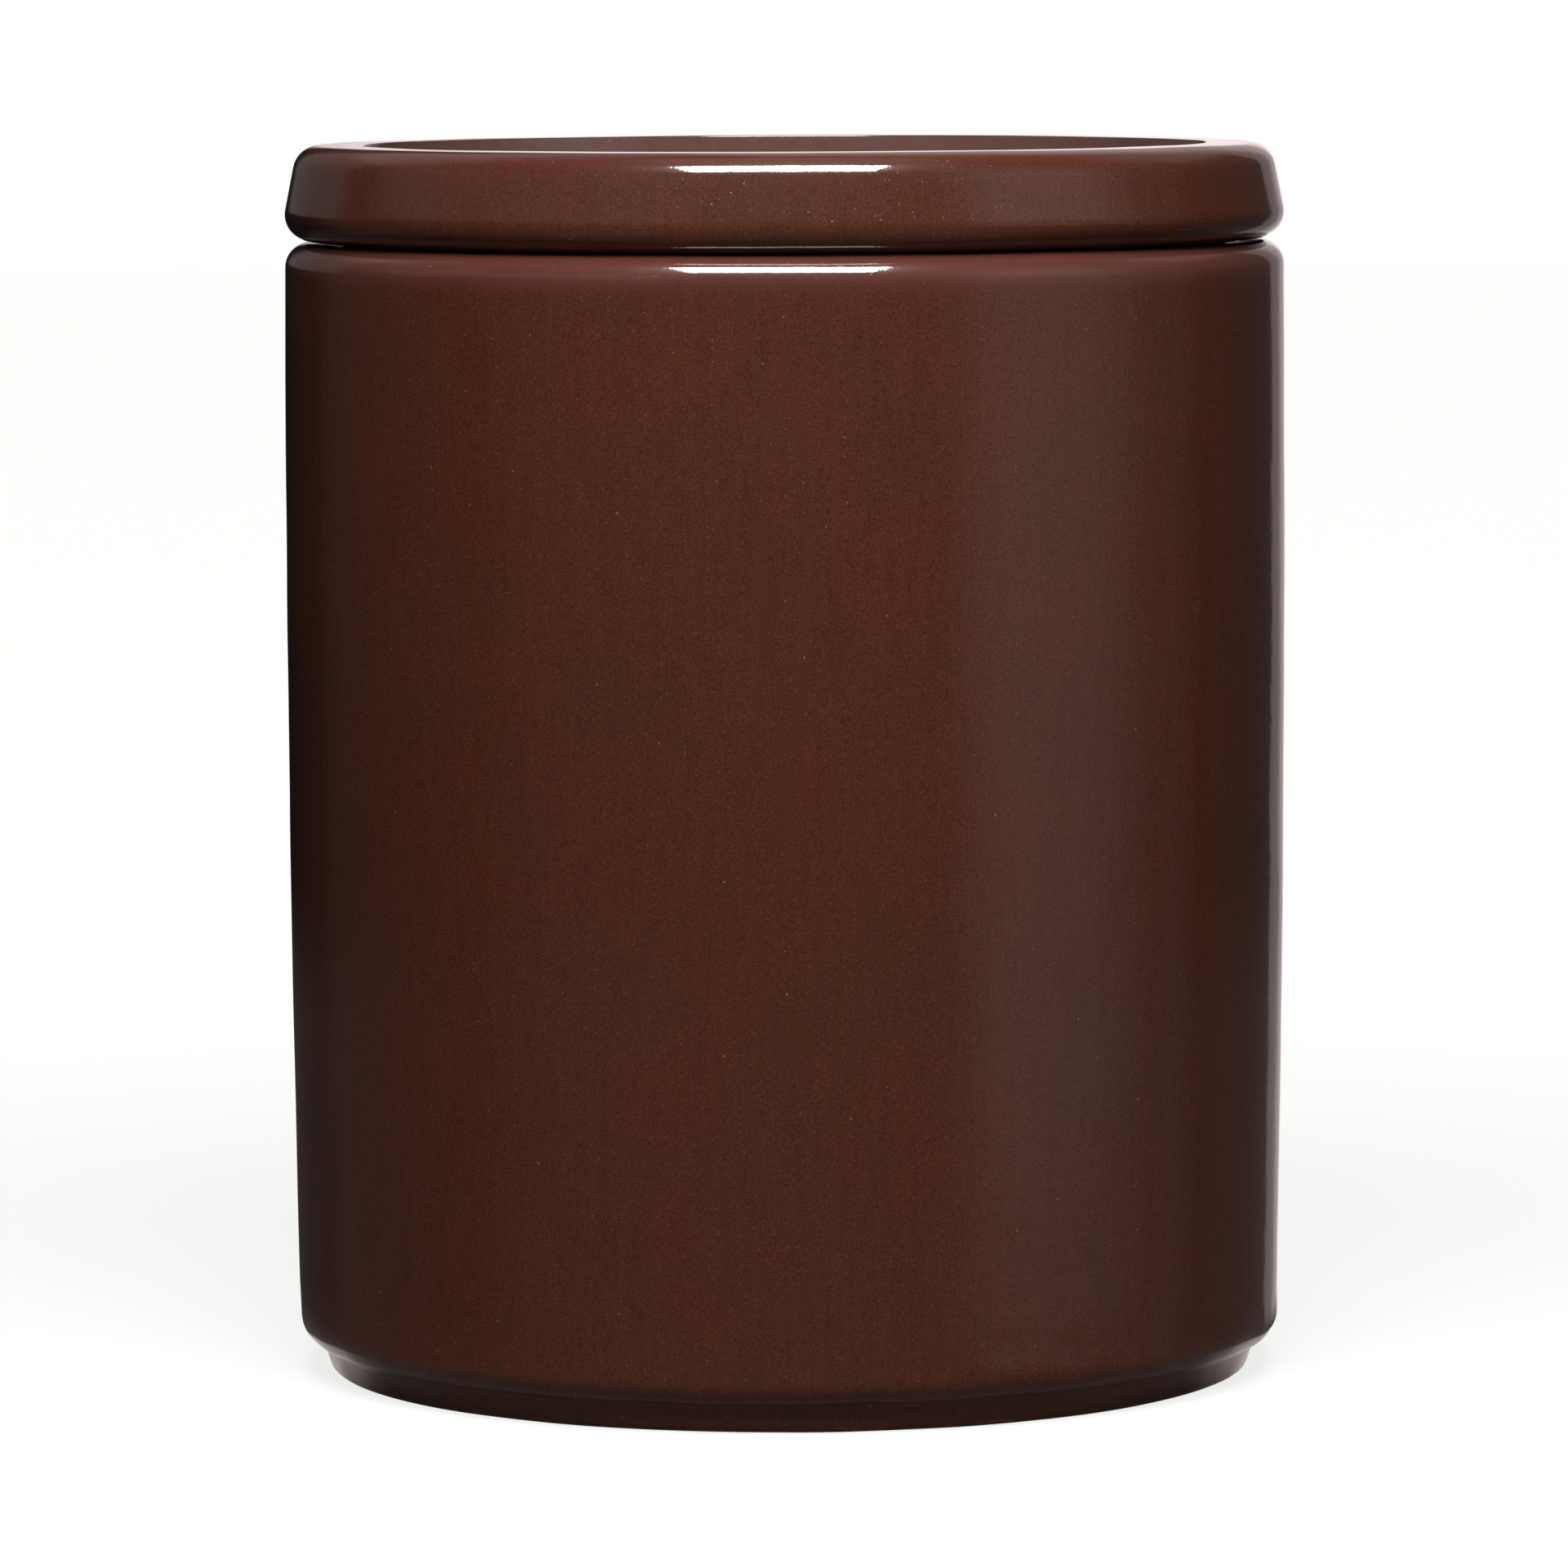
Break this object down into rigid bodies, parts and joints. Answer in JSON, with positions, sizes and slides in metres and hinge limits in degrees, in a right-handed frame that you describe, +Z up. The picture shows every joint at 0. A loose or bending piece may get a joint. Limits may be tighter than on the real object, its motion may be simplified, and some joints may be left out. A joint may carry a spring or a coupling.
{
  "type": "storage jar",
  "caption": "Round storage jar in glossy glazed stoneware, with a dished lift-off lid centred by a spigot, a silicone seal ring and a recessed foot ring.",
  "frame": {"origin": "middle of the jar's foot ring, on the surface it stands on", "axes": "+Z up along the jar's axis, from the foot to the lid; +X and +Y are alike"},
  "size_m": [0.1202, 0.1202, 0.1475],
  "materials": {
    "glazed_stoneware": "high gloss deep red-brown glaze with fine pale speckles",
    "silicone": "satin translucent white"
  },
  "bodies": {
    "jar": {"jar_body": "glazed_stoneware"},
    "seal": {"seal_ring": "silicone"},
    "cover": {"lid": "glazed_stoneware"}
  },
  "joints": [
    {"name": "lid_lift", "type": "slide", "parent": "jar", "child": "seal", "axis": [0, 0, 1], "range_m": [0, 0.06]},
    {"name": "lid_turn", "type": "hinge", "parent": "seal", "child": "cover", "pos_m": [0, 0, 0.1362], "axis": [0, 0, 1], "continuous": true}
  ]
}
